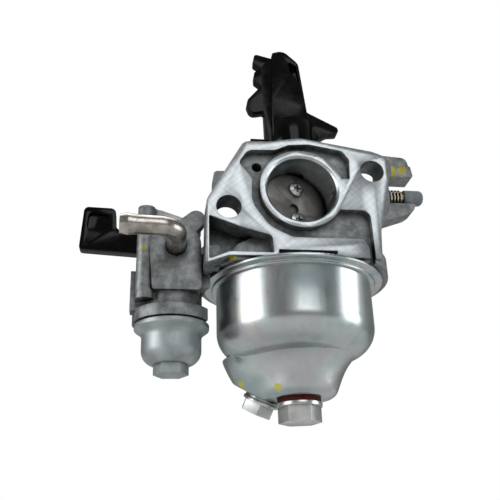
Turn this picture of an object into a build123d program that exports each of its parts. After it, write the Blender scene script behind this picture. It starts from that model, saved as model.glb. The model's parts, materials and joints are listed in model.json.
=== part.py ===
"""Float-bowl carburetor of a small four-stroke engine, with fuel cock and sediment cup.

Millimetres. The origin is the centre of the bore on the engine-side flange face, +X to the right as seen
from the engine, +Y through the body towards the air cleaner, +Z up.
"""

import os
from math import cos, radians, sin

from build123d import *

# ---- driving dimensions ----------------------------------------------------------------------------------
bore_r = 9.6  # engine-side bore
throat_r = 7.2  # venturi throat
inlet_r = 10.8  # air-side bore
body_length = 42.0  # flange face to flange face
flange_t = 7.3
rear_flange_t = 6.0
barrel_r = 13.4
ring_r = 11.6  # raised ring round the bore
recess_depth = 2.6
pocket_depth = 7.8

bolt_pcd = 42.0  # two M6 studs
bolt_angle = 17.3
bolt_hole_r = 3.36
ear_r = 5.9

flange_bottom = -20.0
roof_z = -20.9  # face of the float chamber roof that the bowl's rim meets
roof_t = 4.5
roof_r = 26.8
bowl_y = 20.0  # axis of bowl, stem and bowl bolt
stem_r = 5.5

bowl_r = 21.7
bowl_rim_r = 25.2
bowl_step_r = 23.0
bowl_wall = 0.9
bowl_rim_t = 0.9
bowl_step_t = 0.8
spigot_h = 2.7  # ring of the casting that enters the bowl
spigot_t = 1.75
spigot_gap = 0.15
shoulder_z = -41.2
shoulder_round = 7.5
bowl_bottom_z = -52.8
gasket_depth = 0.65  # groove in the spigot
gasket_h = 1.6

bolt_r = 3.0  # M6 bowl bolt
washer_t = 1.2
bolt_af = 10.0
bolt_head_h = 4.0
bolt_flange_r = 6.15
bolt_flange_t = 1.0

shaft_r = 3.0
throttle_y = 11.0
throttle_rest = 20.0  # the closed plate stands at this angle to the bore's cross-section
choke_y = 31.0
plates_apart = 0.5  # between the two plates when both are open
plate_t = 1.0
plate_gap = 0.12  # plate edge to bore
boss_top = 16.8  # top of the throttle shaft boss
choke_boss_top = 15.4
running_gap = 0.05  # shaft in its bearing, on the radius
face_gap = 0.3  # between faces that pass each other
bowl_room = 0.8  # casting to bowl, on the radius

idle_x = -9.5
idle_z = 19.4
idle_r = 1.55
lug_back = 20.5  # rear of the lug that carries the idle stop screw

jet_x = 11.2  # pilot jet
jet_y = 20.5

pilot_y = 4.7
pilot_z = 0.6
pilot_r = 1.5
cap_r = 2.2
cap_x = 29.8
cap_length = 5.6

pin_y = 36.0  # float hinge
pin_z = -23.6
pin_r = 0.8
float_outer_r = 17.3
float_hole_r = 8.6
float_h = 9.4
float_drop = 10.0  # degrees below its closed level when it hangs
needle_arm = 4.8  # float pin to needle, along Y
needle_r = 1.5

screw_r = 1.2  # small M2.5 screws of plates and valve
head_r = 2.1
head_h = 1.1

cock_x = -34.0  # axis of cup, strainer and valve
cock_y = 17.0
cock_front = 8.0
cock_back = 22.0
collar_r = 10.5
cup_r = 7.9
cup_rim_r = 9.95
cup_wall = 1.2
cup_top_z = -33.9
cup_bottom_z = -44.6
cup_af = 8.0
cup_hex_h = 2.5
cock_bottom = -26.6  # lower edge of the cock's front block
collar_h = 3.1
strainer_h = 11.0
valve_z = -8.0
valve_hub_r = 6.6
valve_ear = 6.5  # plate screws from the valve axis, along X and along Z
valve_hub_t = 4.6
seat_t = 4.2  # wall of the cock behind the valve
packing_t = 3.0
packing_r = 4.95
inlet_z = -14.5
pipe_r = 2.5
pipe_bore_r = 1.6

# ---- places worked out from them -------------------------------------------------------------------------
stud = [
    (s * bolt_pcd / 2 * cos(radians(bolt_angle)), s * bolt_pcd / 2 * sin(radians(bolt_angle)))
    for s in (-1, 1)
]
bowl_inside_r = bowl_r - bowl_wall
spigot_r = bowl_inside_r - spigot_gap
gasket_top_z = roof_z - 0.4
rim_under_z = roof_z - bowl_rim_t
step_under_z = rim_under_z - bowl_step_t
washer_bottom_z = bowl_bottom_z - washer_t
collar_top_z = cup_top_z + 0.2 + collar_h
strainer_top_z = cup_top_z + 4.4
lever_bottom = boss_top + face_gap
valve_screws = [(cock_x + s * valve_ear, valve_z + s * valve_ear) for s in (-1, 1)]


# ---- helpers ---------------------------------------------------------------------------------------------
def across(y):
    """Plane of X and Z at this Y. Its normal points to the engine, so a negative depth runs into the body."""
    return Plane.XZ.offset(-y)


def along(origin, direction):
    return Plane(origin=origin, z_dir=direction)


def at(plane, u, v):
    """The same plane with its origin moved within it."""
    return Plane(origin=plane.origin + plane.x_dir * u + plane.y_dir * v, x_dir=plane.x_dir, z_dir=plane.z_dir)


def bar(plane, radius, length, mode=Mode.ADD):
    """Round bar or bore from the plane's origin along its normal."""
    with BuildSketch(plane) as section:
        Circle(radius)
    extrude(section.sketch, amount=length, mode=mode)


def tube(plane, outer, inner, length, mode=Mode.ADD):
    with BuildSketch(plane) as section:
        Circle(outer)
        Circle(inner, mode=Mode.SUBTRACT)
    extrude(section.sketch, amount=length, mode=mode)


def prism(plane, points, radii, length, mode=Mode.ADD):
    """Closed outline with rounded corners, drawn out by the given length."""
    with BuildSketch(plane) as section:
        with BuildLine():
            FilletPolyline(*points, radius=radii, close=True)
        make_face()
    extrude(section.sketch, amount=length, mode=mode)


def block(x, y, z, mode=Mode.ADD):
    """Box given by its lowest and highest X, Y and Z."""
    with Locations(((x[0] + x[1]) / 2, (y[0] + y[1]) / 2, (z[0] + z[1]) / 2)):
        Box(x[1] - x[0], y[1] - y[0], z[1] - z[0], mode=mode)


def hexagon(plane, across_flats, length, turn=30, mode=Mode.ADD):
    with BuildSketch(plane) as section:
        RegularPolygon(across_flats / 2, 6, major_radius=False, rotation=turn)
    extrude(section.sketch, amount=length, mode=mode)


def turned(axis, points, radii, mode=Mode.ADD):
    """Solid of revolution about a vertical axis at (x, y), from an outline of radius and height."""
    with BuildSketch(Plane(origin=(axis[0], axis[1], 0), x_dir=(1, 0, 0), z_dir=(0, -1, 0))) as section:
        with BuildLine():
            FilletPolyline(*points, radius=radii, close=True)
        make_face()
    revolve(section.sketch, axis=Axis((axis[0], axis[1], 0), (0, 0, 1)), mode=mode)


def coil(origin, direction, radius, wire, length, turns):
    """Compression spring with its first coil at the origin."""
    inner = length - 2 * wire
    start = Vector(origin) + Vector(direction).normalized() * wire
    path = Helix(inner / turns, inner, radius, center=start, direction=direction, mode=Mode.PRIVATE)
    with BuildSketch(Plane(origin=path @ 0, z_dir=path % 0)) as section:
        Circle(wire)
    sweep(section.sketch, path=path, is_frenet=True)


def cross_recess(plane, size, depth):
    with BuildSketch(plane) as section:
        Rectangle(size, size / 4)
        Rectangle(size / 4, size)
    extrude(section.sketch, amount=-depth, mode=Mode.SUBTRACT)


os.makedirs("parts", exist_ok=True)


def save(piece, name):
    piece.label = name
    export_step(piece, "parts/" + name + ".step")


# ---- carburetor body: one aluminium casting --------------------------------------------------------------
flange_outline = [
    (-15.6, 14.0), (-8.0, 14.2), (0, 15.8), (20.6, 12.5), (25.6, 10.6), (25.6, 5.5), (24.3, 3.0),
    (24.2, -3.2), (20.8, -11.5), (20.2, flange_bottom), (-20.0, flange_bottom), (-26.3, -22.4), (-25.9, -4.4), (-22.3, 2.1),
]
flange_radii = [2.8, 8, 10, 6, 4.0, 3, 4, 4, 6, 0.3, 1, 0.6, 4, 6]
recess_outline = [
    (13.5, 3.4), (13.8, 9.6), (11.9, 12.3), (2.4, 13.9), (-3.2, 13.4), (-7.0, 11.6), (-14.6, 11.3),
    (-17.2, 7.2), (-13.7, 2.6), (-14.0, -4.8), (-9.4, -11.6), (-3.4, -14.6), (15.8, -14.6), (16.9, -17.0),
    (17.0, flange_bottom - 1), (18.5, flange_bottom - 1), (18.2, -6.0), (9.8, -6.0), (6.4, -9.2), (0, 0), (9.0, 3.4),
]
recess_radii = [0.4, 1.8, 2.0, 5, 4, 3, 3, 1.6, 3, 8, 8, 4, 1.6, 2, 0, 0, 2.4, 1.6, 1.0, 1, 0.4]
pocket_outline = [(-25.3, -8.9), (-17.2, -11.9), (-8.8, -14.2), (-8.5, -19.1), (-19.8, -19.0), (-25.3, -21.3)]
pocket_radii = [0.3, 8, 1.4, 0.4, 1, 0.4]

with BuildPart() as body:
    prism(across(0), flange_outline, flange_radii, -flange_t)
    # barrel and air-cleaner flange
    bar(across(1), barrel_r, 1 - body_length)
    with BuildSketch(across(body_length - rear_flange_t)):
        Circle(barrel_r + 2.2)
        with Locations(stud):
            Circle(ear_r)
        make_hull()
    extrude(amount=-rear_flange_t)
    # float chamber roof, cut off flush with the flange face
    bar(along((0, bowl_y, roof_z), (0, 0, 1)), roof_r, roof_t)
    block((-40, 40), (-40, 0), (-60, 60), mode=Mode.SUBTRACT)
    block((-20.1, 40), (-1, 1.0), (roof_z - 1, flange_bottom), mode=Mode.SUBTRACT)
    # web between barrel and roof, closed towards the flange
    block((-10.5, 10.5), (2, 40), (roof_z + 1, -8))
    prism(across(pocket_depth), [(-25.9, -6), (0, -6), (0, flange_bottom), (-20, flange_bottom), (-26.2, -22.3)], [0, 0, 0, 1, 0.5], -1.6)
    # shaft bosses
    bar(along((0, throttle_y, 5), (0, 0, 1)), shaft_r + 3.4, boss_top - 5)
    bar(along((0, choke_y, 5), (0, 0, 1)), shaft_r + 2.4, choke_boss_top - 5)
    # pilot jet boss
    bar(along((jet_x, jet_y, 2), (0, 0, 1)), 4.0, 11.6)
    # right-hand block with its parting line
    prism(across(flange_t - 1.3), [(24.4, 15.2), (32.9, 14.6), (33.4, 11.7), (24.4, 11.7)], [1.5, 2, 0, 0], -5.5)
    prism(across(flange_t - 1.7), [(24.2, 11.7), (33.7, 11.7), (34.2, 8.1), (24.2, 8.1)], [0, 0.5, 0.5, 0], -6.1)
    # wedge under the pilot screw
    prism(across(1.5), [(18, -2.7), (32.2, -2.7), (31.4, -4.6), (29.6, -5.8), (21.0, -8.8)], [0, 0.5, 1, 2, 0], -5.6)
    # lug of the left-hand shoulder
    prism(across(8.6), [(-23.2, 9.2), (-12, 9.6), (-9, 2.0), (-23.4, 2.0)], [1.2, 0, 0, 1], -6)
    # lug that carries the idle stop screw
    block((idle_x - 3.4, idle_x + 3.6), (lug_back - 4, lug_back), (6, idle_z + 2.4))
    # fuel cock housing: front block, vertical passage rib, valve seat, cup collar and neck
    prism(
        across(cock_front),
        [(-40.4, inlet_z), (-40.4, -7.5), (-26.7, -7.5), (-26.7, cock_bottom), (-39.4, cock_bottom)],
        [0, 6.6, 6.6, 0.8, 0.6],
        cock_front - cock_back,
    )
    bar(along((-41.4, cock_front + 2.4, cock_bottom - 2.2), (0, 0, 1)), 2.35, 26.2)
    block((-43.7, -38.5), (cock_front + 2.4, cock_back - 3), (cock_bottom - 2.2, -2.6))
    bar(along((-40.6, cock_back - 5, -1.6), (0, 1, 0)), 2.9, 5)
    for x, z in valve_screws:
        with BuildSketch(across(cock_back - seat_t)):
            with Locations((x, z)):
                Circle(2.6)
            with Locations((cock_x, valve_z)):
                Circle(3.4)
            make_hull()
        extrude(amount=-seat_t)
    bar(along((cock_x, cock_back - seat_t, valve_z), (0, 1, 0)), 6.2, seat_t)
    bar(along((cock_x, cock_y, cup_top_z + 0.2), (0, 0, 1)), collar_r, collar_h)
    bar(along((cock_x, cock_y, collar_top_z - 1), (0, 0, 1)), 8.0, cock_bottom + 2 - collar_top_z)
    block((-45.1, -40), (12.5, 17), (cock_bottom - 4.4, -20.2))
    block((-30, -18), (10.5, 21), (-25.2, -15.6))
    bar(along((-30, 15.8, -20.5), (1, 0, 0)), 5.2, 13)
    # room for the bowl below the roof, wider than its rim, step and wall
    for z, radius in ((roof_z, bowl_rim_r), (rim_under_z - 0.6, bowl_step_r), (step_under_z - 0.6, bowl_r)):
        bar(along((0, bowl_y, z), (0, 0, -1)), radius + bowl_room, 50, mode=Mode.SUBTRACT)
    # ring that enters the bowl, with the groove of its seal
    tube(along((0, bowl_y, roof_z), (0, 0, -1)), spigot_r, spigot_r - spigot_t, spigot_h)
    tube(
        along((0, bowl_y, gasket_top_z), (0, 0, -1)),
        bowl_inside_r + 1, spigot_r - gasket_depth, gasket_h, mode=Mode.SUBTRACT,
    )
    # stem that holds jet, nozzle and bowl bolt
    bar(along((0, bowl_y, -12), (0, 0, -1)), stem_r, -12 - (bowl_bottom_z + bowl_wall))
    # float hinge posts
    for side in (-1, 1):
        block(sorted((side * 5.4, side * 7.6)), (pin_y - 1.9, pin_y + 1.9), (pin_z - 1.8, roof_z + 1))

    # ---- cuts ----
    # recess in the flange face and the pocket at its lower left
    with BuildSketch(across(0)) as recess:
        with BuildLine():
            FilletPolyline(*recess_outline, radius=recess_radii, close=True)
        make_face()
        Circle(ring_r, mode=Mode.SUBTRACT)
    extrude(recess.sketch, amount=-recess_depth, mode=Mode.SUBTRACT)
    prism(across(0), pocket_outline, pocket_radii, -pocket_depth, mode=Mode.SUBTRACT)
    # raised floor at the pocket's inner end, and a step at its outer end
    prism(
        across(4.4),
        [(-20.2, -19.4), (-8.2, -19.4), (-8.4, -13.8), (-12.6, -12.6), (-17.6, -15.2)],
        [1.5, 0, 0, 3, 3],
        4.4 - pocket_depth,
    )
    block((-25.6, -22.2), (5.0, pocket_depth), (-21.6, -15.4))
    block((-7.3, 8.3), (-1, 5), (flange_bottom - 1, flange_bottom + 1.9), mode=Mode.SUBTRACT)
    bar(at(across(0), -11.9, 7.3), 1.4, -9, mode=Mode.SUBTRACT)
    # bore: straight past the throttle, throat, then wider to the air side
    with BuildSketch(Plane.XY) as bore:
        with BuildLine():
            Polyline((0, -1), (bore_r + 1.6, -1), (bore_r, 0.6), (bore_r, 16))
            Spline((bore_r, 16), (throat_r, 20), tangents=((0, 1), (0, 1)))
            Line((throat_r, 20), (throat_r, 21))
            Spline((throat_r, 21), (inlet_r, 26), tangents=((0, 1), (0, 1)))
            Polyline((inlet_r, 26), (inlet_r, body_length + 1), (0, body_length + 1), (0, -1))
        make_face()
    revolve(bore.sketch, axis=Axis.Y, mode=Mode.SUBTRACT)
    # stud holes right through
    for x, z in stud:
        bar(at(across(-1), x, z), bolt_hole_r, -body_length - 2, mode=Mode.SUBTRACT)
    # shaft bearings and seal counterbores
    bar(along((0, throttle_y, -13), (0, 0, 1)), shaft_r + running_gap, 40, mode=Mode.SUBTRACT)
    bar(along((0, choke_y, -13), (0, 0, 1)), shaft_r - 0.5 + running_gap, 40, mode=Mode.SUBTRACT)
    bar(along((0, throttle_y, boss_top - 1.2), (0, 0, 1)), shaft_r + 1.8, 5, mode=Mode.SUBTRACT)
    # pilot screw bore and its outlet
    bar(along((bore_r + 3, pilot_y, pilot_z), (1, 0, 0)), pilot_r, 30, mode=Mode.SUBTRACT)
    bar(along((bore_r - 2, pilot_y, pilot_z), (1, 0, 0)), 0.8, 8, mode=Mode.SUBTRACT)
    # pilot jet bore
    bar(along((jet_x, jet_y, 5), (0, 0, 1)), 2.0, 20, mode=Mode.SUBTRACT)
    bar(along((jet_x, jet_y, 11.4), (0, 0, 1)), 2.7, 20, mode=Mode.SUBTRACT)
    # idle stop screw thread
    bar(along((idle_x, lug_back - 5, idle_z), (0, 1, 0)), idle_r + 0.05, 20, mode=Mode.SUBTRACT)
    # nozzle, jet and bolt bores in the stem
    bar(along((0, bowl_y, -43.5), (0, 0, 1)), 2.2, 43.5, mode=Mode.SUBTRACT)
    bar(along((0, bowl_y, -53), (0, 0, 1)), 2.7, 10.5, mode=Mode.SUBTRACT)
    bar(along((0, bowl_y, -53), (0, 0, 1)), bolt_r, 6.2, mode=Mode.SUBTRACT)
    bar(along((-8, bowl_y, -46.1), (1, 0, 0)), 0.6, 16, mode=Mode.SUBTRACT)
    # float pin and needle seat
    bar(along((-12, pin_y, pin_z), (1, 0, 0)), pin_r, 24, mode=Mode.SUBTRACT)
    bar(along((0, pin_y - needle_arm, roof_z - 1), (0, 0, 1)), 2.3, 5.6, mode=Mode.SUBTRACT)
    # fuel cock: inlet, valve bore, cup bore and strainer seat
    bar(along((-33.4, cock_front - 1, inlet_z), (0, 1, 0)), pipe_r, 8, mode=Mode.SUBTRACT)
    bar(along((-33.4, cock_front - 1, inlet_z), (0, 1, 0)), pipe_r + 0.35, 1.4, mode=Mode.SUBTRACT)
    bar(along((cock_x, cock_back - packing_t, valve_z), (0, 1, 0)), packing_r + 0.05, 5, mode=Mode.SUBTRACT)
    bar(along((cock_x, cock_y, cup_top_z - 1), (0, 0, 1)), 6.6, strainer_top_z - cup_top_z + 1, mode=Mode.SUBTRACT)
    bar(along((cock_x, cock_y, strainer_top_z - 1), (0, 0, 1)), 2.0, 19, mode=Mode.SUBTRACT)
    for x, z in valve_screws:
        bar(along((x, cock_back + 1, z), (0, -1, 0)), screw_r, seat_t, mode=Mode.SUBTRACT)
save(body.part, "carburetor_body")

# ---- throttle: shaft, plate, screws, lever and seal ------------------------------------------------------
turn = radians(throttle_rest)
throttle_plane = Plane(
    origin=(0, throttle_y, 0), x_dir=(cos(turn), sin(turn), 0), z_dir=(sin(turn), -cos(turn), 0)
)
lever_hub_r = 6.6
throttle_screw_z = (-4.9, 4.9)

with BuildPart() as throttle_shaft:
    bar(along((0, throttle_y, -12.8), (0, 0, 1)), shaft_r, 12.8 + boss_top + 8)
    # half of the shaft is milled away where the plate lies on it
    with BuildSketch(throttle_plane):
        Rectangle(4 * shaft_r, 2 * bore_r + 1)
    extrude(amount=shaft_r + 1, mode=Mode.SUBTRACT)
    for z in throttle_screw_z:
        bar(at(throttle_plane.offset(1), 0, z), screw_r, -1 - shaft_r * 0.75, mode=Mode.SUBTRACT)
save(throttle_shaft.part, "throttle_shaft")

with BuildPart() as throttle_plate:
    bar(across(-40), bore_r - plate_gap, -80)
    with BuildSketch(throttle_plane) as slab:
        Rectangle(4 * bore_r, 4 * bore_r)
    extrude(slab.sketch, amount=plate_t, mode=Mode.INTERSECT)
    for z in throttle_screw_z:
        bar(at(throttle_plane, 0, z), screw_r, plate_t, mode=Mode.SUBTRACT)
    with BuildSketch(throttle_plane) as relief:
        with Locations((-0.8, -1.3)):
            Circle(1.5)
    extrude(relief.sketch, amount=plate_t, mode=Mode.SUBTRACT)
save(throttle_plate.part, "throttle_plate")


def plate_screw(plane, depth):
    """Pan-head screw whose head stands on the plane and whose shank runs the other way."""
    bar(plane, head_r, head_h * 0.55)
    with BuildSketch(plane.offset(head_h * 0.55)) as lower:
        Circle(head_r)
    with BuildSketch(plane.offset(head_h)) as upper:
        Circle(head_r * 0.62)
    loft([lower.sketch, upper.sketch])
    bar(plane, screw_r, -depth)
    cross_recess(plane.offset(head_h), 2.3, 0.7)


with BuildPart() as throttle_plate_screws:
    for z in throttle_screw_z:
        plate_screw(at(throttle_plane.offset(plate_t), 0, z), plate_t + shaft_r * 0.7)
save(throttle_plate_screws.part, "throttle_plate_screws")

with BuildPart() as throttle_shaft_seal:
    tube(along((0, throttle_y, boss_top - 1.2), (0, 0, 1)), shaft_r + 1.8, shaft_r + running_gap, 1.2)
save(throttle_shaft_seal.part, "throttle_shaft_seal")

lever_outline = [
    (-5.0, 51.0), (-1.6, 52.2), (3.0, 47.6), (4.6, 30.8), (14.0, 25.7), (14.2, 23.9), (10.8, 23.5),
    (8.0, 21.6), (6.0, 18.4), (-6.6, 18.4), (-7.9, 22.5), (-8.0, 30.5), (-12.0, 29.6), (-13.4, 33.4), (-8.3, 39.7),
    (-10.6, 41.6), (-10.6, 44.2), (-8.2, 46.2), (-10.7, 48.0), (-10.4, 51.2), (-5.0, 49.8),
]
lever_radii = [0.4, 3, 3.5, 2, 0.9, 0.9, 2, 3, 1, 1, 3, 0.5, 1.8, 2.6, 0.4, 1.1, 1.1, 0.4, 1.1, 0.9, 0.2]
with BuildPart() as throttle_lever:
    prism(across(8.6), lever_outline, lever_radii, -3.2)
    # deeper column behind and in front of the web
    prism(
        across(7.4),
        [(-5.0, 51.0), (-1.6, 52.2), (3.0, 47.6), (4.6, 30.8), (5.4, 20), (-6.2, 20), (-5.6, 34)],
        [0.6, 3, 3.5, 8, 2, 2, 8],
        -6.4,
    )
    bar(along((0, throttle_y, lever_bottom), (0, 0, 1)), lever_hub_r, 9.0)
    # pad that meets the idle stop screw
    block((idle_x - 2.7, -4), (throttle_y - 1.5, throttle_y + 1.5), (lever_bottom + 0.6, idle_z + 1.6))
    # the long recess in the column's right side
    prism(across(7.3), [(-0.2, 48.4), (2.4, 46.6), (3.2, 40.2), (0.4, 43.0)], [0.5, 0.5, 0.3, 0.5], -2.2, mode=Mode.SUBTRACT)
    bar(along((0, throttle_y, lever_bottom - 1), (0, 0, 1)), shaft_r, boss_top + 9 - lever_bottom, mode=Mode.SUBTRACT)
save(throttle_lever.part, "throttle_lever")

# ---- choke: shaft, plate, screws, lever ------------------------------------------------------------------
choke_r = shaft_r - 0.5
choke_plate_r = inlet_r - 0.3
choke_plane = Plane(origin=(0, choke_y, 0), x_dir=(0, 1, 0), z_dir=(1, 0, 0))
choke_lever_bottom = choke_boss_top + face_gap + 0.6
with BuildPart() as choke_shaft:
    bar(along((0, choke_y, -12.8), (0, 0, 1)), choke_r, 12.8 + choke_lever_bottom + 2.2)
    with BuildSketch(choke_plane):
        Rectangle(4 * choke_r, 2 * inlet_r + 1)
    extrude(amount=choke_r + 1, mode=Mode.SUBTRACT)
    for z in throttle_screw_z:
        bar(at(choke_plane.offset(1), 0, z), screw_r, -1 - choke_r * 0.75, mode=Mode.SUBTRACT)
save(choke_shaft.part, "choke_shaft")

# the open choke plate is cut straight where it would meet the open throttle plate
choke_cut = choke_y - throttle_y - (bore_r - plate_gap) / cos(turn) - plates_apart
with BuildPart() as choke_plate:
    with BuildSketch(choke_plane) as disc:
        Circle(choke_plate_r)
        with Locations((-choke_cut - choke_plate_r, 0)):
            Rectangle(2 * choke_plate_r, 4 * choke_plate_r, mode=Mode.SUBTRACT)
        with Locations((5.6, 0), (0, throttle_screw_z[0]), (0, throttle_screw_z[1])):
            Circle(screw_r, mode=Mode.SUBTRACT)
    extrude(disc.sketch, amount=plate_t)
save(choke_plate.part, "choke_plate")

with BuildPart() as choke_plate_screws:
    for z in throttle_screw_z:
        plate_screw(at(choke_plane.offset(plate_t), 0, z), plate_t + choke_r * 0.7)
save(choke_plate_screws.part, "choke_plate_screws")

choke_arm = 15.0
choke_arm_angle = -30.0
arm_dir = Plane(
    origin=(0, choke_y, choke_lever_bottom),
    x_dir=(cos(radians(choke_arm_angle)), sin(radians(choke_arm_angle)), 0),
    z_dir=(0, 0, 1),
)
with BuildPart() as choke_lever:
    with BuildSketch(arm_dir):
        Circle(4.8)
        with Locations((choke_arm, 0)):
            Circle(2.6)
        make_hull()
        with Locations((choke_arm, 0)):
            Circle(1.1, mode=Mode.SUBTRACT)
        Circle(choke_r, mode=Mode.SUBTRACT)
    extrude(amount=2.2)
save(choke_lever.part, "choke_lever")

# ---- idle stop screw and its spring ----------------------------------------------------------------------
idle_tip = throttle_y + 1.5 + 0.12
idle_head_y = 26.4
with BuildPart() as idle_stop_screw:
    bar(along((idle_x, idle_tip, idle_z), (0, 1, 0)), idle_r, idle_head_y - idle_tip)
    bar(along((idle_x, idle_head_y, idle_z), (0, 1, 0)), 3.4, 3.6)
    with BuildSketch(across(idle_head_y + 3.6)) as slot:
        with Locations((idle_x, idle_z)):
            Rectangle(8, 1.0)
    extrude(slot.sketch, amount=1.2, mode=Mode.SUBTRACT)
save(idle_stop_screw.part, "idle_stop_screw")

with BuildPart() as idle_stop_spring:
    coil((idle_x, lug_back + 0.02, idle_z), (0, 1, 0), 2.5, 0.35, idle_head_y - lug_back - 0.14, 5)
save(idle_stop_spring.part, "idle_stop_spring")

# ---- pilot screw, limiter cap, spring --------------------------------------------------------------------
seat_x = 24.3
with BuildPart() as pilot_screw:
    bar(along((14.2, pilot_y, pilot_z), (1, 0, 0)), pilot_r - running_gap, cap_x + 3.4 - 14.2)
    with BuildSketch(along((14.2, pilot_y, pilot_z), (1, 0, 0))) as wide:
        Circle(0.75)
    with BuildSketch(along((10.6, pilot_y, pilot_z), (1, 0, 0))) as tip:
        Circle(0.3)
    loft([tip.sketch, wide.sketch])
save(pilot_screw.part, "pilot_screw")

with BuildPart() as limiter_cap:
    with BuildSketch(Plane(origin=(cap_x, pilot_y, pilot_z), x_dir=(1, 0, 0), z_dir=(0, -1, 0))) as profile:
        with BuildLine():
            FilletPolyline(
                (0, pilot_r - running_gap), (0, cap_r), (cap_length, cap_r), (cap_length, 0),
                (3.4, 0), (3.4, pilot_r - running_gap),
                radius=[0, 0.2, 1.3, 0, 0, 0], close=True,
            )
        make_face()
    revolve(profile.sketch, axis=Axis((0, pilot_y, pilot_z), (1, 0, 0)))
save(limiter_cap.part, "limiter_cap")

with BuildPart() as pilot_screw_spring:
    coil((seat_x + 0.05, pilot_y, pilot_z), (1, 0, 0), cap_r - 0.3, 0.28, cap_x - seat_x - 0.2, 5)
save(pilot_screw_spring.part, "pilot_screw_spring")

# ---- pilot jet with its O-ring ---------------------------------------------------------------------------
with BuildPart() as pilot_jet:
    bar(along((jet_x, jet_y, 5.5), (0, 0, 1)), 1.95, 8.3)
    bar(along((jet_x, jet_y, 13.65), (0, 0, 1)), 3.3, 1.7)
    bar(along((jet_x, jet_y, 5), (0, 0, 1)), 0.5, 6, mode=Mode.SUBTRACT)
    block((jet_x - 3.5, jet_x + 3.5), (jet_y - 0.4, jet_y + 0.4), (14.7, 16), mode=Mode.SUBTRACT)
save(pilot_jet.part, "pilot_jet")

with BuildPart() as pilot_jet_oring:
    tube(along((jet_x, jet_y, 11.5), (0, 0, 1)), 2.65, 1.97, 1.2)
save(pilot_jet_oring.part, "pilot_jet_oring")

# ---- nozzle and main jet ---------------------------------------------------------------------------------
with BuildPart() as main_nozzle:
    tube(along((0, bowl_y, -42.4), (0, 0, 1)), 2.18, 1.3, 42.4 - throat_r)
    for i in range(5):
        bar(along((-4, bowl_y, -38 + 5 * i), (1, 0, 0)), 0.4, 8, mode=Mode.SUBTRACT)
save(main_nozzle.part, "main_nozzle")

with BuildPart() as main_jet:
    tube(along((0, bowl_y, -45.2), (0, 0, 1)), 2.68, 0.45, 2.6)
    block((-3, 3), (bowl_y - 0.4, bowl_y + 0.4), (-46, -44.4), mode=Mode.SUBTRACT)
save(main_jet.part, "main_jet")

# ---- float, its pin, needle and seat ---------------------------------------------------------------------
drop = radians(float_drop)
float_plane = Plane(origin=(0, pin_y, pin_z), x_dir=(1, 0, 0), z_dir=(0, sin(drop) * -1, cos(drop)))
needle_foot_z = pin_z + 1.0 - needle_arm * sin(drop)
seat_under_z = roof_z + 3.4
needle_lift = needle_arm * drop
with BuildPart() as float_body:
    centre = bowl_y - pin_y
    with BuildSketch(float_plane.offset(-1.2)) as ring:
        with Locations((0, centre)):
            Circle(float_outer_r)
            Circle(float_hole_r, mode=Mode.SUBTRACT)
        with Locations((0, -3)):
            Rectangle(40, 10, mode=Mode.SUBTRACT)
    extrude(ring.sketch, amount=-float_h)
    with BuildSketch(float_plane.offset(-1.2)) as arms:
        with Locations((-4.0, -5.4), (4.0, -5.4)):
            Rectangle(1.8, 9.2)
        with Locations((0, -needle_arm)):
            Rectangle(9.8, 2.6)
    extrude(arms.sketch, amount=2.0)
    for side in (-1, 1):
        bar(along((side * 4.0 - 0.9, pin_y, pin_z), (1, 0, 0)), 1.6, 1.8)
    bar(along((-12, pin_y, pin_z), (1, 0, 0)), pin_r + running_gap, 24, mode=Mode.SUBTRACT)
save(float_body.part, "float")

with BuildPart() as float_pin:
    bar(along((-7.6, pin_y, pin_z), (1, 0, 0)), pin_r, 15.2)
save(float_pin.part, "float_pin")

needle_y = pin_y - needle_arm
with BuildPart() as float_valve:
    turned(
        (0, needle_y),
        [(0, needle_foot_z), (0.5, needle_foot_z), (0.5, needle_foot_z + 0.8), (needle_r, needle_foot_z + 0.8),
         (needle_r, seat_under_z - needle_lift - 1.1), (0.15, seat_under_z - needle_lift + 0.6),
         (0, seat_under_z - needle_lift + 0.6)],
        0,
    )
save(float_valve.part, "float_valve")

with BuildPart() as float_valve_seat:
    tube(along((0, needle_y, roof_z + 4.6), (0, 0, -1)), 2.3, 0.8, 1.2)
    tube(along((0, needle_y, roof_z + 3.4), (0, 0, -1)), 2.3, needle_r + 0.15, 2.9)
save(float_valve_seat.part, "float_valve_seat")

# ---- float bowl ------------------------------------------------------------------------------------------
# sections of the sump: height, then X, Y from the bowl's axis and radius of the circles at its two ends
sump = [
    (shoulder_z + 0.2, (1.0, 1.2, 16.4), (-7.4, 6.2, 12.2)),
    (shoulder_z - 2.4, (1.0, 1.4, 13.6), (-7.2, 6.0, 11.4)),
    (shoulder_z - 6.4, (0.8, 1.0, 11.4), (-6.6, 5.6, 9.9)),
    (bowl_bottom_z, (0.3, 0.4, 9.6), (-4.8, 4.6, 8.0)),
]
drain_centre = Vector(-8.7, 27.0, -50.7)
drain_axis = Vector(-0.38, 0.30, -0.875).normalized()
drain_r = 2.5


def bowl_form(inset, top):
    """Outer form of the drawn bowl, or its inside when inset by the wall."""
    with BuildPart() as form:
        outlines = []
        for z, *ends in sump:
            with BuildSketch(Plane.XY.offset(max(z, bowl_bottom_z + inset))) as outline:
                for x, y, radius in ends:
                    with Locations((x, bowl_y + y)):
                        Circle(radius - inset)
                make_hull()
            outlines.append(outline.sketch)
        loft(outlines)
        fillet(form.edges().group_by(Axis.Z)[0], radius=3.0 - inset)
        split(bisect_by=Plane(origin=drain_centre - drain_axis * inset, z_dir=drain_axis), keep=Keep.BOTTOM)
        facet = form.faces().sort_by(Axis(drain_centre, drain_axis))[-1]
        fillet(facet.edges(), radius=1.0)
        turned(
            (0, bowl_y),
            [(0, shoulder_z - 2.6 + inset), (bowl_r - inset, shoulder_z + inset), (bowl_r - inset, top), (0, top)],
            [0, shoulder_round - inset, 0, 0],
        )
    return form.part


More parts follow.
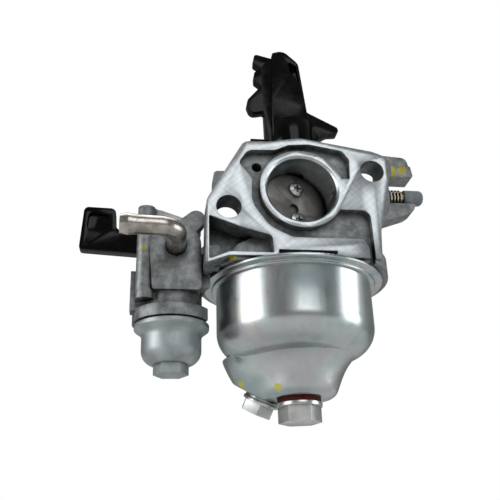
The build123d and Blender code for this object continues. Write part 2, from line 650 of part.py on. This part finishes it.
bowl_outer = bowl_form(0, roof_z)
bowl_inner = bowl_form(bowl_wall, roof_z + 1)
with BuildPart() as float_bowl:
    add(bowl_outer)
    turned(
        (0, bowl_y),
        [(bowl_r - 3, roof_z), (bowl_rim_r, roof_z), (bowl_rim_r, rim_under_z), (bowl_step_r, rim_under_z),
         (bowl_step_r, step_under_z), (bowl_r - 3, step_under_z)],
        [0, 0.3, 0.3, 0.3, 0.4, 0],
    )
    add(bowl_inner, mode=Mode.SUBTRACT)
    bar(along((0, bowl_y, bowl_bottom_z - 1), (0, 0, 1)), bolt_r + 0.1, 3, mode=Mode.SUBTRACT)
    bar(along(drain_centre + drain_axis, -drain_axis), drain_r, 4, mode=Mode.SUBTRACT)
save(float_bowl.part, "float_bowl")

with BuildPart() as bowl_gasket:
    tube(along((0, bowl_y, gasket_top_z), (0, 0, -1)), bowl_inside_r, spigot_r - gasket_depth, gasket_h)
save(bowl_gasket.part, "bowl_gasket")

with BuildPart() as bowl_bolt_washer:
    tube(along((0, bowl_y, washer_bottom_z), (0, 0, 1)), bolt_flange_r - 0.3, bolt_r + 0.1, washer_t)
save(bowl_bolt_washer.part, "bowl_bolt_washer")

with BuildPart() as bowl_bolt:
    bar(along((0, bowl_y, -47.0), (0, 0, -1)), bolt_r, -47.0 - washer_bottom_z)
    bar(along((0, bowl_y, washer_bottom_z), (0, 0, -1)), bolt_flange_r, bolt_flange_t)
    hexagon(along((0, bowl_y, washer_bottom_z - bolt_flange_t), (0, 0, -1)), bolt_af, bolt_head_h, turn=12)
save(bowl_bolt.part, "bowl_bolt")

drain_out = Plane(origin=drain_centre, z_dir=drain_axis)
with BuildPart() as drain_washer:
    tube(drain_out, 4.6, drain_r + 0.1, 1.0)
save(drain_washer.part, "drain_washer")

with BuildPart() as drain_bolt:
    bar(drain_out.offset(1.0), drain_r, -3.8)
    bar(drain_out.offset(1.0), 4.9, 0.8)
    hexagon(drain_out.offset(1.8), 8.0, 3.0)
save(drain_bolt.part, "drain_bolt")

# ---- sediment cup, O-ring and strainer -------------------------------------------------------------------
with BuildPart() as sediment_cup:
    turned(
        (cock_x, cock_y),
        [(0, cup_bottom_z), (cup_r, cup_bottom_z), (cup_r, cup_top_z - 2.8), (cup_rim_r, cup_top_z - 1.3),
         (cup_rim_r, cup_top_z), (cup_r - cup_wall, cup_top_z), (cup_r - cup_wall, cup_bottom_z + cup_wall),
         (0, cup_bottom_z + cup_wall)],
        [0, 3.8, 2.0, 0.3, 0.3, 0, 2.6, 0],
    )
    tube(along((cock_x, cock_y, cup_top_z - 0.8), (0, 0, 1)), 8.6, 7.3, 2, mode=Mode.SUBTRACT)
    hexagon(along((cock_x, cock_y, cup_bottom_z + 0.4), (0, 0, -1)), cup_af, cup_hex_h + 0.4, turn=0)
    # threaded collar that enters the casting
    tube(along((cock_x, cock_y, cup_top_z), (0, 0, 1)), 6.55, 5.6, 3.4)
    tube(along((cock_x, cock_y, cup_top_z - 1.4), (0, 0, 1)), 7.2, 5.6, 1.4)
save(sediment_cup.part, "sediment_cup")

with BuildPart() as sediment_cup_oring:
    tube(along((cock_x, cock_y, cup_top_z - 0.8), (0, 0, 1)), 8.6, 7.3, 1.0)
save(sediment_cup_oring.part, "sediment_cup_oring")

with BuildPart() as fuel_strainer:
    tube(along((cock_x, cock_y, strainer_top_z), (0, 0, -1)), 4.4, 3.7, strainer_h)
    tube(along((cock_x, cock_y, strainer_top_z), (0, 0, -1)), 5.4, 3.7, 1.0)
    bar(along((cock_x, cock_y, strainer_top_z - strainer_h), (0, 0, -1)), 4.4, 0.6)
save(fuel_strainer.part, "fuel_strainer")

# ---- fuel valve ------------------------------------------------------------------------------------------
with BuildPart() as fuel_valve_packing:
    bar(along((cock_x, cock_back - packing_t, valve_z), (0, 1, 0)), packing_r, packing_t)
    for x in (-2.4, 2.4):
        bar(along((cock_x + x, cock_back - packing_t - 1, valve_z), (0, 1, 0)), 1.1, packing_t + 2, mode=Mode.SUBTRACT)
save(fuel_valve_packing.part, "fuel_valve_packing")

hub_front = cock_back + 0.1
hub_back = hub_front + valve_hub_t
with BuildPart() as fuel_valve_lever:
    bar(along((cock_x, hub_front, valve_z), (0, 1, 0)), valve_hub_r, valve_hub_t)
    prism(
        across(hub_front + 0.4),
        [(-60.4, -9.8), (-36, -11.4), (-36, -5.2), (-50.2, -3.4), (-50.6, 3.3), (-59.6, 3.6)],
        [1.0, 0, 0, 1.5, 1.6, 1.4],
        -3.4,
    )
    # moulded pocket in the finger tab
    prism(
        across(hub_front),
        [(-58.6, -3.2), (-52.4, -4.2), (-52.2, 1.0), (-58.2, 2.0)],
        [1.0, 1.4, 1.2, 1.4],
        -2.2,
        mode=Mode.SUBTRACT,
    )
    bar(along((cock_x, hub_back - 1.4, valve_z), (0, 1, 0)), 5.6, 3, mode=Mode.SUBTRACT)
save(fuel_valve_lever.part, "fuel_valve_lever")

plate_y = hub_back + 0.2
with BuildPart() as fuel_valve_plate:
    prism(
        across(plate_y),
        [(-43.2, -16.8), (-42.8, 5.8), (-37.6, 5.4), (-26.2, 1.4), (-25.2, -11.0), (-27.0, -16.8)],
        [3, 3, 3, 3.2, 2, 2],
        -1.0,
    )
    bar(along((cock_x, plate_y, valve_z), (0, 1, 0)), 3.6, 2, mode=Mode.SUBTRACT)
    for x, z in valve_screws:
        bar(along((x, cock_back, z), (0, 1, 0)), 1.9, plate_y - cock_back)
        bar(along((x, cock_back - 1, z), (0, 1, 0)), screw_r, 12, mode=Mode.SUBTRACT)
save(fuel_valve_plate.part, "fuel_valve_plate")

with BuildPart() as fuel_valve_screws:
    for x, z in valve_screws:
        place = Plane(origin=(x, plate_y + 1.0, z), z_dir=(0, 1, 0))
        plate_screw(place, plate_y + 1.0 - cock_back + seat_t - 1.2)
save(fuel_valve_screws.part, "fuel_valve_screws")

with BuildPart() as wave_washer:
    tube(along((cock_x, plate_y - 0.6, valve_z), (0, 1, 0)), 5.2, 3.9, 0.6)
save(wave_washer.part, "wave_washer")

# ---- fuel inlet pipe -------------------------------------------------------------------------------------
pipe_y = -4.0
pipe_end_x = -47.6
bend_r = 4.6
with BuildPart() as fuel_inlet_pipe:
    with BuildLine(mode=Mode.PRIVATE) as route:
        FilletPolyline(
            (-33.4, cock_front + 6.8, inlet_z), (-33.4, pipe_y, inlet_z), (pipe_end_x, pipe_y, inlet_z + 0.4), radius=bend_r
        )
    with BuildSketch(along((-33.4, cock_front + 6.8, inlet_z), (0, -1, 0))) as section:
        Circle(pipe_r - 0.02)
    sweep(section.sketch, path=route.line)
    end_dir = Vector(-1, 0, 0.4 / (-33.4 - pipe_end_x)).normalized()
    end = Vector(pipe_end_x, pipe_y, inlet_z + 0.4)
    with BuildSketch(Plane(origin=end, z_dir=end_dir * -1)) as barb_tip:
        Circle(pipe_r - 0.1)
    with BuildSketch(Plane(origin=end - end_dir * 1.8, z_dir=end_dir * -1)) as barb_top:
        Circle(pipe_r + 0.3)
    with BuildSketch(Plane(origin=end - end_dir * 4.2, z_dir=end_dir * -1)) as barb_root:
        Circle(pipe_r)
    loft([barb_tip.sketch, barb_top.sketch, barb_root.sketch], ruled=True)
    with BuildSketch(along((-33.4, cock_front + 6.8, inlet_z), (0, -1, 0))) as hollow:
        Circle(pipe_bore_r)
    sweep(hollow.sketch, path=route.line, mode=Mode.SUBTRACT)
save(fuel_inlet_pipe.part, "fuel_inlet_pipe")
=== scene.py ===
# %% [markdown]
# The object is a small engine's carburetor: a die-cast body, a drawn steel float bowl, a fuel cock with its
# sediment cup, and two black plastic levers. Its shape comes from a CAD model that is loaded as a fixed
# frame. This lesson rounds the edges that tools and moulds leave round, gives every piece the finish of the
# real one, and lights it like a product on a pale table.

# %% Load the frame
import json
import math

import bpy
from mathutils import Matrix, Vector

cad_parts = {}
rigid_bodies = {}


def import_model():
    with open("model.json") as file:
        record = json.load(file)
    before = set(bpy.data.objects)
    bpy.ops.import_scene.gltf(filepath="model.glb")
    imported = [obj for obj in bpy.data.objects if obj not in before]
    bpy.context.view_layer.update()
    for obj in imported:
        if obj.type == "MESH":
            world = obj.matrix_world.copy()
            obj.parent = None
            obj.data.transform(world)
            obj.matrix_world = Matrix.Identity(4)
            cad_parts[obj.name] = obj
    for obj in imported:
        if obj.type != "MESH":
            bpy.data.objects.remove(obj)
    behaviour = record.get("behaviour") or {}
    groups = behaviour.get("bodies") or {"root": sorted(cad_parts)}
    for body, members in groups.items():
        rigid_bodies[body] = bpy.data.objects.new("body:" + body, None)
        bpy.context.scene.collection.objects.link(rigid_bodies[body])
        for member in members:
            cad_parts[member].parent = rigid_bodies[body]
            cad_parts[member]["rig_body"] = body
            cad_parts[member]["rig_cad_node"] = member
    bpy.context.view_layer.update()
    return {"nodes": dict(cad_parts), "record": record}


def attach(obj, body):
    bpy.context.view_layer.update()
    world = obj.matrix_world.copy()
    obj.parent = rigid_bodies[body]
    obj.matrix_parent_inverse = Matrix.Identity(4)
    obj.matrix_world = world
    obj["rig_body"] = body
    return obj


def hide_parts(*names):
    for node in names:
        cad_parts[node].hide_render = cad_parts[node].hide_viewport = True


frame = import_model()
print("pieces in the frame:", len(frame["nodes"]))

# %% [markdown]
# Lengths are read more easily in millimetres, but Blender works in metres here. Colours are read more easily
# as the hex values of a paint program, but shaders work in linear light. Two short helpers turn one into the
# other, so that every later cell can use the numbers that a maker would use.

# %% Units and colours
MM = 0.001


def linear(code):
    """An sRGB hex value as linear red, green, blue and alpha."""
    parts = [int(code[i:i + 2], 16) / 255 for i in (1, 3, 5)]
    return [c / 12.92 if c <= 0.04045 else ((c + 0.055) / 1.055) ** 2.4 for c in parts] + [1.0]


print("mid grey is", round(linear("#808080")[0], 3), "in linear light")

# %% [markdown]
# A shader is a tree of nodes. One helper adds a node, sets its options, and fills each of its inputs with
# either a value or the output of another node. Every finish below is written with it.


# %% One way to add a node
def add(material, kind, inputs=None, stops=None, **settings):
    """Adds a node. inputs maps a socket's name or number to a value or to another node's output."""
    made = material.node_tree.nodes.new(kind)
    for key, value in settings.items():
        setattr(made, key, value)
    if stops:
        ends = made.color_ramp.elements
        places = sorted(stops)
        ends[0].position, ends[1].position = places[0], places[-1]
        for place in places[1:-1]:
            ends.new(place)
        for end, place in zip(ends, places):
            end.color = linear(stops[place])
    for key, value in (inputs or {}).items():
        socket = made.inputs[key]
        if isinstance(value, bpy.types.NodeSocket):
            material.node_tree.links.new(value, socket)
        else:
            socket.default_value = value
    return made


def new_finish(name, **values):
    """A material, its shader with these values set, and the Object coordinates its patterns read."""
    made = bpy.data.materials.new(name)
    made.use_nodes = True
    shader = made.node_tree.nodes["Principled BSDF"]
    for key, value in values.items():
        shader.inputs[key.replace("_", " ")].default_value = value
    return made, shader, add(made, "ShaderNodeTexCoord").outputs["Object"]


def join(material, output, shader, name):
    material.node_tree.links.new(output, shader.inputs[name])


# %% [markdown]
# The camera stands low and a little to the left of the engine side, and looks up at the flange. It is set by
# its place, its heading, its pitch and a slight roll, which is how a hand-held camera ends up.

# %% Camera
camera_place = (-0.0379, -0.15624, -0.08662)
heading, pitch, roll = math.radians(8.4), math.radians(23.3), math.radians(-1.8)
view_dir = Vector((math.sin(heading) * math.cos(pitch), math.cos(heading) * math.cos(pitch), math.sin(pitch)))
side = Vector((math.cos(heading), -math.sin(heading), 0))
upward = side.cross(view_dir)
cam_right = math.cos(roll) * side + math.sin(roll) * upward
cam_up = math.cos(roll) * upward - math.sin(roll) * side
camera = bpy.data.objects.new("camera", bpy.data.cameras.new("camera"))
camera.data.lens, camera.data.sensor_width = 48.44, 36.0
camera.data.clip_start = 0.01
turned = Matrix((cam_right, cam_up, -view_dir)).transposed().to_4x4()
camera.matrix_world = Matrix.Translation(camera_place) @ turned
bpy.context.scene.collection.objects.link(camera)
bpy.context.scene.camera = camera
print("the camera looks along", [round(v, 3) for v in view_dir])

# %% [markdown]
# A product on white needs three things: a pale floor for a soft bounce from below, a white surround, and
# large soft lights. Bare metal shows its shape only by what it mirrors, so the surround is dimmer for
# reflections than it is for the eye, and each light is a panel that leaves one bright patch on the bowl.

# %% Floor, surround and lights
table_z = -0.10
mirrored, seen = 0.18, 1.0  # strength of the surround in reflections, and for the eye
bpy.ops.object.select_all(action="DESELECT")
bpy.ops.mesh.primitive_plane_add(size=3, location=(0, 0, table_z))
floor = bpy.context.object
floor.name = "floor"
paper, shader, coords = new_finish("matt paper, rolled", Roughness=0.9)
fibre = add(paper, "ShaderNodeTexNoise", {"Vector": coords, "Scale": 0.9 / MM, "Detail": 2.0})
tone = add(paper, "ShaderNodeValToRGB", {"Fac": fibre.outputs["Fac"]}, {0.4: "#e6e6e4", 0.6: "#ececea"})
join(paper, tone.outputs["Color"], shader, "Base Color")
floor.data.materials.append(paper)

world = bpy.data.worlds.new("white surround")
world.use_nodes = True
bpy.context.scene.world = world
backdrop = world.node_tree.nodes["Background"]
light_path = add(world, "ShaderNodeLightPath")
level = add(world, "ShaderNodeMapRange", {"Value": light_path.outputs["Is Camera Ray"], 3: mirrored, 4: seen})
world.node_tree.links.new(level.outputs[0], backdrop.inputs["Strength"])
backdrop.inputs["Color"].default_value = (1, 1, 1, 1)


def panel(name, place, aim, size, power):
    """A soft light: a square panel at place that faces the point aim."""
    light = bpy.data.lights.new(name, "AREA")
    light.shape, light.size, light.energy = "SQUARE", size, power
    made = bpy.data.objects.new(name, light)
    direction = Vector(aim) - Vector(place)
    made.matrix_world = Matrix.Translation(place) @ direction.to_track_quat("-Z", "Y").to_matrix().to_4x4()
    bpy.context.scene.collection.objects.link(made)
    return made


centre = (-0.005, 0.02, -0.015)
panel("front panel", (0.06, -0.42, 0.20), centre, 0.30, 0.55)
panel("left panel", (-0.42, -0.12, 0.06), centre, 0.26, 0.75)
panel("right panel", (0.42, -0.10, 0.02), centre, 0.22, 0.55)
panel("top panel", (0.0, 0.10, 0.50), centre, 0.40, 1.2)
bpy.context.scene.view_settings.view_transform = "Standard"

# %% [markdown]
# The body is die-cast aluminium. The steel mould leaves a dull, slightly mottled grey skin with a grain of
# under a millimetre. The flange faces, the ring and the bore are machined afterwards, so they are lighter
# and carry the crossed marks of the tool, which are one noise stretched along two directions. One material
# can do both: the machined faces lie on known planes and on the bore's cylinder, so a mask worked out from
# the place on the body picks the finish. Painted shade darkens the corners, where an ambient occlusion
# node finds them. The yellow dabs are an inspector's paint.


# %% Die-cast aluminium, with machined faces
def spot(material, coords, place, radius, ragged=0.35):
    """1 inside a ragged dab of this radius in mm round a place in mm, and 0 outside."""
    rag = add(material, "ShaderNodeTexNoise", {"Vector": coords, "Scale": 1.0 / (0.9 * MM), "Detail": 1.0})
    near = add(material, "ShaderNodeVectorMath", {0: coords, 1: [v * MM for v in place]},
               operation="DISTANCE")
    edge = add(material, "ShaderNodeMapRange", {
        "Value": rag.outputs["Fac"], 1: 0.3, 2: 0.7,
        3: radius * (1 - ragged) * MM, 4: radius * (1 + ragged) * MM,
    })
    return add(material, "ShaderNodeMath", {0: near.outputs["Value"], 1: edge.outputs[0]},
               operation="LESS_THAN").outputs[0]


def dabs(material, coords, places):
    """1 inside any of these dabs."""
    total = None
    for place, radius in places:
        one = spot(material, coords, place, radius)
        total = one if total is None else add(
            material, "ShaderNodeMath", {0: total, 1: one}, operation="MAXIMUM").outputs[0]
    return total


flange_planes_mm = (0.0, 42.0)
machined_radius_mm = 11.3
cast, shader, coords = new_finish("aluminium, die cast and machined", Metallic=1.0)
mottle = add(cast, "ShaderNodeTexNoise",
             {"Vector": coords, "Scale": 1 / (2.2 * MM), "Detail": 6.0, "Roughness": 0.65})
skin = add(cast, "ShaderNodeValToRGB", {"Fac": mottle.outputs["Fac"]},
           {0.30: "#6c7071", 0.5: "#8e9293", 0.68: "#acb0b1"})
marks = []
for turn in (50, -40):
    placed = add(cast, "ShaderNodeMapping",
                 {"Vector": coords, "Rotation": (0, math.radians(turn), 0), "Scale": (1, 1, 16)},
                 vector_type="TEXTURE")
    marks.append(add(cast, "ShaderNodeTexNoise", {
        "Vector": placed.outputs["Vector"], "Scale": 1 / (0.8 * MM), "Detail": 1.0,
    }).outputs["Fac"])
crossed = add(cast, "ShaderNodeMath", {0: marks[0], 1: marks[1]}, operation="MULTIPLY")
broad = add(cast, "ShaderNodeTexNoise", {"Vector": coords, "Scale": 1 / (7 * MM), "Detail": 3.0})
hatch = add(cast, "ShaderNodeMath", {0: crossed.outputs[0], 1: broad.outputs["Fac"]}, operation="MULTIPLY")
cut_tone = add(cast, "ShaderNodeValToRGB", {"Fac": hatch.outputs[0]},
               {0.08: "#a8aeb1", 0.13: "#b1b7ba", 0.2: "#bbc1c4"})
parts = add(cast, "ShaderNodeSeparateXYZ", {"Vector": coords})
masks = []
for plane in flange_planes_mm:
    masks.append(add(cast, "ShaderNodeMath", {0: parts.outputs["Y"], 1: plane * MM, 2: 0.04 * MM},
                     operation="COMPARE").outputs[0])
off_axis = add(cast, "ShaderNodeVectorMath", {0: coords, 1: (1, 0, 1)}, operation="MULTIPLY")
radius_now = add(cast, "ShaderNodeVectorMath", {0: off_axis.outputs["Vector"]}, operation="LENGTH")
masks.append(add(cast, "ShaderNodeMath", {0: radius_now.outputs["Value"], 1: machined_radius_mm * MM},
                 operation="LESS_THAN").outputs[0])
machined = masks[0]
for other in masks[1:]:
    machined = add(cast, "ShaderNodeMath", {0: machined, 1: other}, operation="MAXIMUM").outputs[0]
both = add(cast, "ShaderNodeMix", {0: machined, 6: skin.outputs["Color"], 7: cut_tone.outputs["Color"]},
           data_type="RGBA")
# Painted shade: ambient occlusion darkens the colour towards near black in corners and recesses.
corner = add(cast, "ShaderNodeAmbientOcclusion", {"Distance": 2.6 * MM}, samples=6)
painted_shade = add(cast, "ShaderNodeMath", {0: corner.outputs["AO"], 1: 1.3}, operation="POWER")
shaded = add(cast, "ShaderNodeMix", {0: painted_shade.outputs[0], 6: linear("#0b0c0c"), 7: both.outputs[2]},
             data_type="RGBA")
paint_dabs = dabs(cast, coords, [((27.6, 5.6, 9.9), 1.9), ((31.0, 5.6, 10.4), 1.5), ((25.4, 2.0, 8.8), 1.1),
                                 ((-41.9, 8.1, -14.9), 0.8), ((-19.3, 1.4, -20.3), 1.0)])
marked = add(cast, "ShaderNodeMix", {0: paint_dabs, 6: shaded.outputs[2], 7: linear("#aea850")},
             data_type="RGBA")
join(cast, marked.outputs[2], shader, "Base Color")
rough = add(cast, "ShaderNodeMapRange", {"Value": mottle.outputs["Fac"], 3: 0.42, 4: 0.66})
bright = add(cast, "ShaderNodeMapRange", {"Value": hatch.outputs[0], 3: 0.30, 4: 0.44})
mixed = add(cast, "ShaderNodeMix", {0: machined, 2: rough.outputs[0], 3: bright.outputs[0]})
join(cast, mixed.outputs[0], shader, "Roughness")
grain = add(cast, "ShaderNodeTexNoise", {"Vector": coords, "Scale": 1 / (0.7 * MM), "Detail": 4.0})
height = add(cast, "ShaderNodeMix", {0: machined, 2: grain.outputs["Fac"], 3: hatch.outputs[0]})
relief = add(cast, "ShaderNodeBump", {"Height": height.outputs[0], "Strength": 0.35, "Distance": 0.12 * MM})
join(cast, relief.outputs["Normal"], shader, "Normal")
print(cast.name, "has", len(cast.node_tree.nodes), "nodes")

# %% [markdown]
# The float bowl is drawn from sheet steel and zinc plated, then passivated. The plating is bright but not a
# mirror, with a faint blue and violet bloom that changes over about a centimetre, and the drawing leaves
# fine upright streaks that make the roughness uneven. Two dabs of yellow paint are an inspector's marks.

# %% Sheet steel, drawn and zinc plated
zinc, shader, coords = new_finish("steel sheet, drawn and zinc plated", Metallic=1.0)
bloom = add(zinc, "ShaderNodeTexNoise", {"Vector": coords, "Scale": 1 / (11 * MM), "Detail": 2.0})
tint = add(zinc, "ShaderNodeValToRGB", {"Fac": bloom.outputs["Fac"]},
           {0.32: "#a6b4b8", 0.48: "#c1caca", 0.58: "#bfbfc4", 0.7: "#cbccc4"})
bowl_dabs = dabs(zinc, coords, [((-15.3, 21.8, -48.3), 1.1), ((-6.7, 13.5, -50.7), 1.1)])
dotted = add(zinc, "ShaderNodeMix", {0: bowl_dabs, 6: tint.outputs["Color"], 7: linear("#c9c647")},
             data_type="RGBA")
join(zinc, dotted.outputs[2], shader, "Base Color")
metal = add(zinc, "ShaderNodeMath", {0: 1.0, 1: bowl_dabs}, operation="SUBTRACT")
join(zinc, metal.outputs[0], shader, "Metallic")
stretched = add(zinc, "ShaderNodeMapping", {"Vector": coords, "Scale": (1, 1, 0.15)})
streaks = add(zinc, "ShaderNodeTexNoise",
              {"Vector": stretched.outputs["Vector"], "Scale": 1 / (1.2 * MM), "Detail": 3.0})
gloss = add(zinc, "ShaderNodeMapRange", {"Value": streaks.outputs["Fac"], 3: 0.24, 4: 0.34})
join(zinc, gloss.outputs[0], shader, "Roughness")
spangle = add(zinc, "ShaderNodeTexNoise", {"Vector": coords, "Scale": 1 / (0.6 * MM), "Detail": 2.0})
relief = add(zinc, "ShaderNodeBump",
             {"Height": spangle.outputs["Fac"], "Strength": 0.10, "Distance": 0.08 * MM})
join(zinc, relief.outputs["Normal"], shader, "Normal")

# %% [markdown]
# Most small metal parts differ only in their base colour, how rough they are and how large their stains are.
# A single recipe with those choices saves writing the same nodes many times: a broad tone, a finer
# roughness pattern, a light grain, and painted shade that darkens the corners.


# %% A recipe for small metal parts
def metal_finish(name, low, high, tone_mm, rough_low, rough_high, grain_mm=0.5, strength=0.2, corner_shade_power=1.0):
    """Bare or plated metal that wanders from one tone to another over tone_mm."""
    made, shader, coords = new_finish(name, Metallic=1.0)
    broad = add(made, "ShaderNodeTexNoise", {"Vector": coords, "Scale": 1 / (tone_mm * MM), "Detail": 4.0})
    tone = add(made, "ShaderNodeValToRGB", {"Fac": broad.outputs["Fac"]}, {0.36: low, 0.64: high})
    # Painted shade: ambient occlusion darkens the colour in corners.
    corner = add(made, "ShaderNodeAmbientOcclusion", {"Distance": 1.5 * MM}, samples=4)
    painted_shade = add(made, "ShaderNodeMath", {0: corner.outputs["AO"], 1: corner_shade_power}, operation="POWER")
    shaded = add(made, "ShaderNodeMix", {0: painted_shade.outputs[0], 6: linear("#141312"), 7: tone.outputs["Color"]},
                 data_type="RGBA")
    join(made, shaded.outputs[2], shader, "Base Color")
    fine = add(made, "ShaderNodeTexNoise", {"Vector": coords, "Scale": 1 / (grain_mm * MM), "Detail": 3.0})
    worn = add(made, "ShaderNodeMapRange", {"Value": fine.outputs["Fac"], 3: rough_low, 4: rough_high})
    join(made, worn.outputs[0], shader, "Roughness")
    relief = add(made, "ShaderNodeBump",
                 {"Height": fine.outputs["Fac"], "Strength": strength, "Distance": 0.05 * MM})
    join(made, relief.outputs["Normal"], shader, "Normal")
    return made


finishes = {
    "cast_alloy": cast,
    "bowl_zinc": zinc,
    "bright_steel": metal_finish("steel, turned and zinc plated", "#c2c5c6", "#dcddda", 3, 0.24, 0.38),
    "plate_steel": metal_finish(
        "steel, stamped and oiled", "#8f8b87", "#a9a5a0", 4, 0.40, 0.58, strength=0.3
    ),
    "valve_plate_zinc": metal_finish("steel, stamped and zinc plated", "#aeb2b3", "#cbcdcc", 4, 0.26, 0.42),
    "brass": metal_finish("brass, turned", "#b08d4e", "#cdb074", 3, 0.22, 0.36),
    "spring_steel": metal_finish("spring steel, drawn wire", "#a79a83", "#cfc9bd", 2, 0.25, 0.40),
    "pipe_plating": metal_finish(
        "steel tube, bent and plated", "#9c968e", "#c5c0ba", 3, 0.22, 0.36, corner_shade_power=0.6
    ),
    "cup_paint": metal_finish(
        "zinc alloy, die cast and blasted", "#9fa7a9", "#b8bfc1", 5, 0.44, 0.60, 0.4, 0.35
    ),
}
print("metal finishes:", sorted(finishes))

# %% [markdown]
# Plastic and rubber are not metals: they keep their own colour, and only a thin clear reflection lies on top.
# Moulded nylon is nearly black and shiny where it was rubbed. Its roughness wanders in patches, which stops
# it from looking like a hole in the picture.


# %% A recipe for plastic and rubber
def plain_finish(name, low, high, tone_mm, rough_low, rough_high, grain_mm=0.6, strength=0.15):
    """Moulded plastic or rubber with patches of wear."""
    made, shader, coords = new_finish(name, Metallic=0.0, IOR=1.5, Specular_IOR_Level=0.2)
    broad = add(made, "ShaderNodeTexNoise", {"Vector": coords, "Scale": 1 / (tone_mm * MM), "Detail": 5.0})
    tone = add(made, "ShaderNodeValToRGB", {"Fac": broad.outputs["Fac"]}, {0.4: low, 0.72: high})
    join(made, tone.outputs["Color"], shader, "Base Color")
    worn = add(made, "ShaderNodeMapRange",
               {"Value": broad.outputs["Fac"], 1: 0.35, 2: 0.7, 3: rough_low, 4: rough_high})
    join(made, worn.outputs[0], shader, "Roughness")
    fine = add(made, "ShaderNodeTexNoise", {"Vector": coords, "Scale": 1 / (grain_mm * MM), "Detail": 2.0})
    relief = add(made, "ShaderNodeBump",
                 {"Height": fine.outputs["Fac"], "Strength": strength, "Distance": 0.05 * MM})
    join(made, relief.outputs["Normal"], shader, "Normal")
    return made


finishes.update({
    "black_lever": plain_finish("nylon, moulded black", "#020202", "#060606", 3, 0.10, 0.24),
    "grey_cap": plain_finish("acetal, moulded grey", "#6f777a", "#8d9497", 3, 0.40, 0.55),
    "black_rubber": plain_finish("nitrile rubber, moulded", "#0a0a0a", "#161616", 2, 0.55, 0.75),
    "float_plastic": plain_finish("phenolic, moulded", "#0d0c0b", "#1d1a18", 5, 0.45, 0.60),
    "strainer_plastic": plain_finish("nylon, moulded natural", "#cfcabb", "#e2ded2", 3, 0.45, 0.60),
    "fibre_washer": plain_finish("vulcanised fibre, punched", "#3f100d", "#5f1d17", 2, 0.60, 0.80),
})

# %% [markdown]
# A CAD model has knife edges, and a bevel along each one is what catches the light on a real part. The CAD
# mesh itself is left alone. A copy has its loose triangles merged, its flat faces made whole, and its sharp
# edges rounded by a Bevel modifier that is applied. The copy then stands for the CAD piece, rides on the
# same body, and takes the same finish.


# %% Rounded copies of the CAD pieces
slot_of = {row["node"]: row["material_slot"] for row in frame["record"]["subparts"]}
body_of = {node: body for body, nodes in frame["record"]["behaviour"]["bodies"].items() for node in nodes}


sharp_angle = math.radians(32)


def eased(name, width):
    """A copy of a CAD piece with sharp edges rounded to this width in mm, riding where the piece rides."""
    source = frame["nodes"][name]
    bpy.ops.object.select_all(action="DESELECT")
    source.select_set(True)
    bpy.context.view_layer.objects.active = source
    bpy.ops.object.duplicate()
    piece = bpy.context.view_layer.objects.active
    piece.name = piece.data.name = name + "_eased"
    piece.parent = None
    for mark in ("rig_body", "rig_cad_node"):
        del piece[mark]
    bpy.ops.object.mode_set(mode="EDIT")
    bpy.ops.mesh.select_all(action="SELECT")
    bpy.ops.mesh.remove_doubles(threshold=0.001 * MM)
    bpy.ops.mesh.dissolve_limited(angle_limit=math.radians(0.3))
    bpy.ops.object.mode_set(mode="OBJECT")
    edge = piece.modifiers.new("edge", "BEVEL")
    edge.width, edge.segments, edge.limit_method = width * MM, 2, "ANGLE"
    edge.angle_limit = sharp_angle
    bpy.ops.object.modifier_apply(modifier="edge")
    bpy.ops.object.shade_smooth_by_angle(angle=sharp_angle)
    piece.data.materials.clear()
    piece.data.materials.append(finishes[slot_of[name]])
    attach(piece, body_of[name])
    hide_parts(name)
    return piece


widths = {
    "carburetor_body": 0.25, "float_bowl": 0.12, "bowl_bolt": 0.3, "drain_bolt": 0.3, "sediment_cup": 0.2,
    "throttle_lever": 0.35, "fuel_valve_lever": 0.4, "fuel_valve_plate": 0.2, "choke_lever": 0.25,
    "throttle_plate": 0.1, "bowl_bolt_washer": 0.15, "drain_washer": 0.15, "idle_stop_screw": 0.2,
    "limiter_cap": 0.15, "fuel_inlet_pipe": 0.1,
}
for name, width in widths.items():
    made = eased(name, width)
    print(made.name, len(made.data.polygons), "faces")

# %% [markdown]
# The pieces that stay as CAD nodes, such as screws, springs, jets and seals, only need their finish, which
# goes into the slot that each one already has.

# %% Finishes for the other pieces
for name, node in frame["nodes"].items():
    if name in widths:
        continue
    for held in node.material_slots:
        held.material = finishes[slot_of[name]]

# %% [markdown]
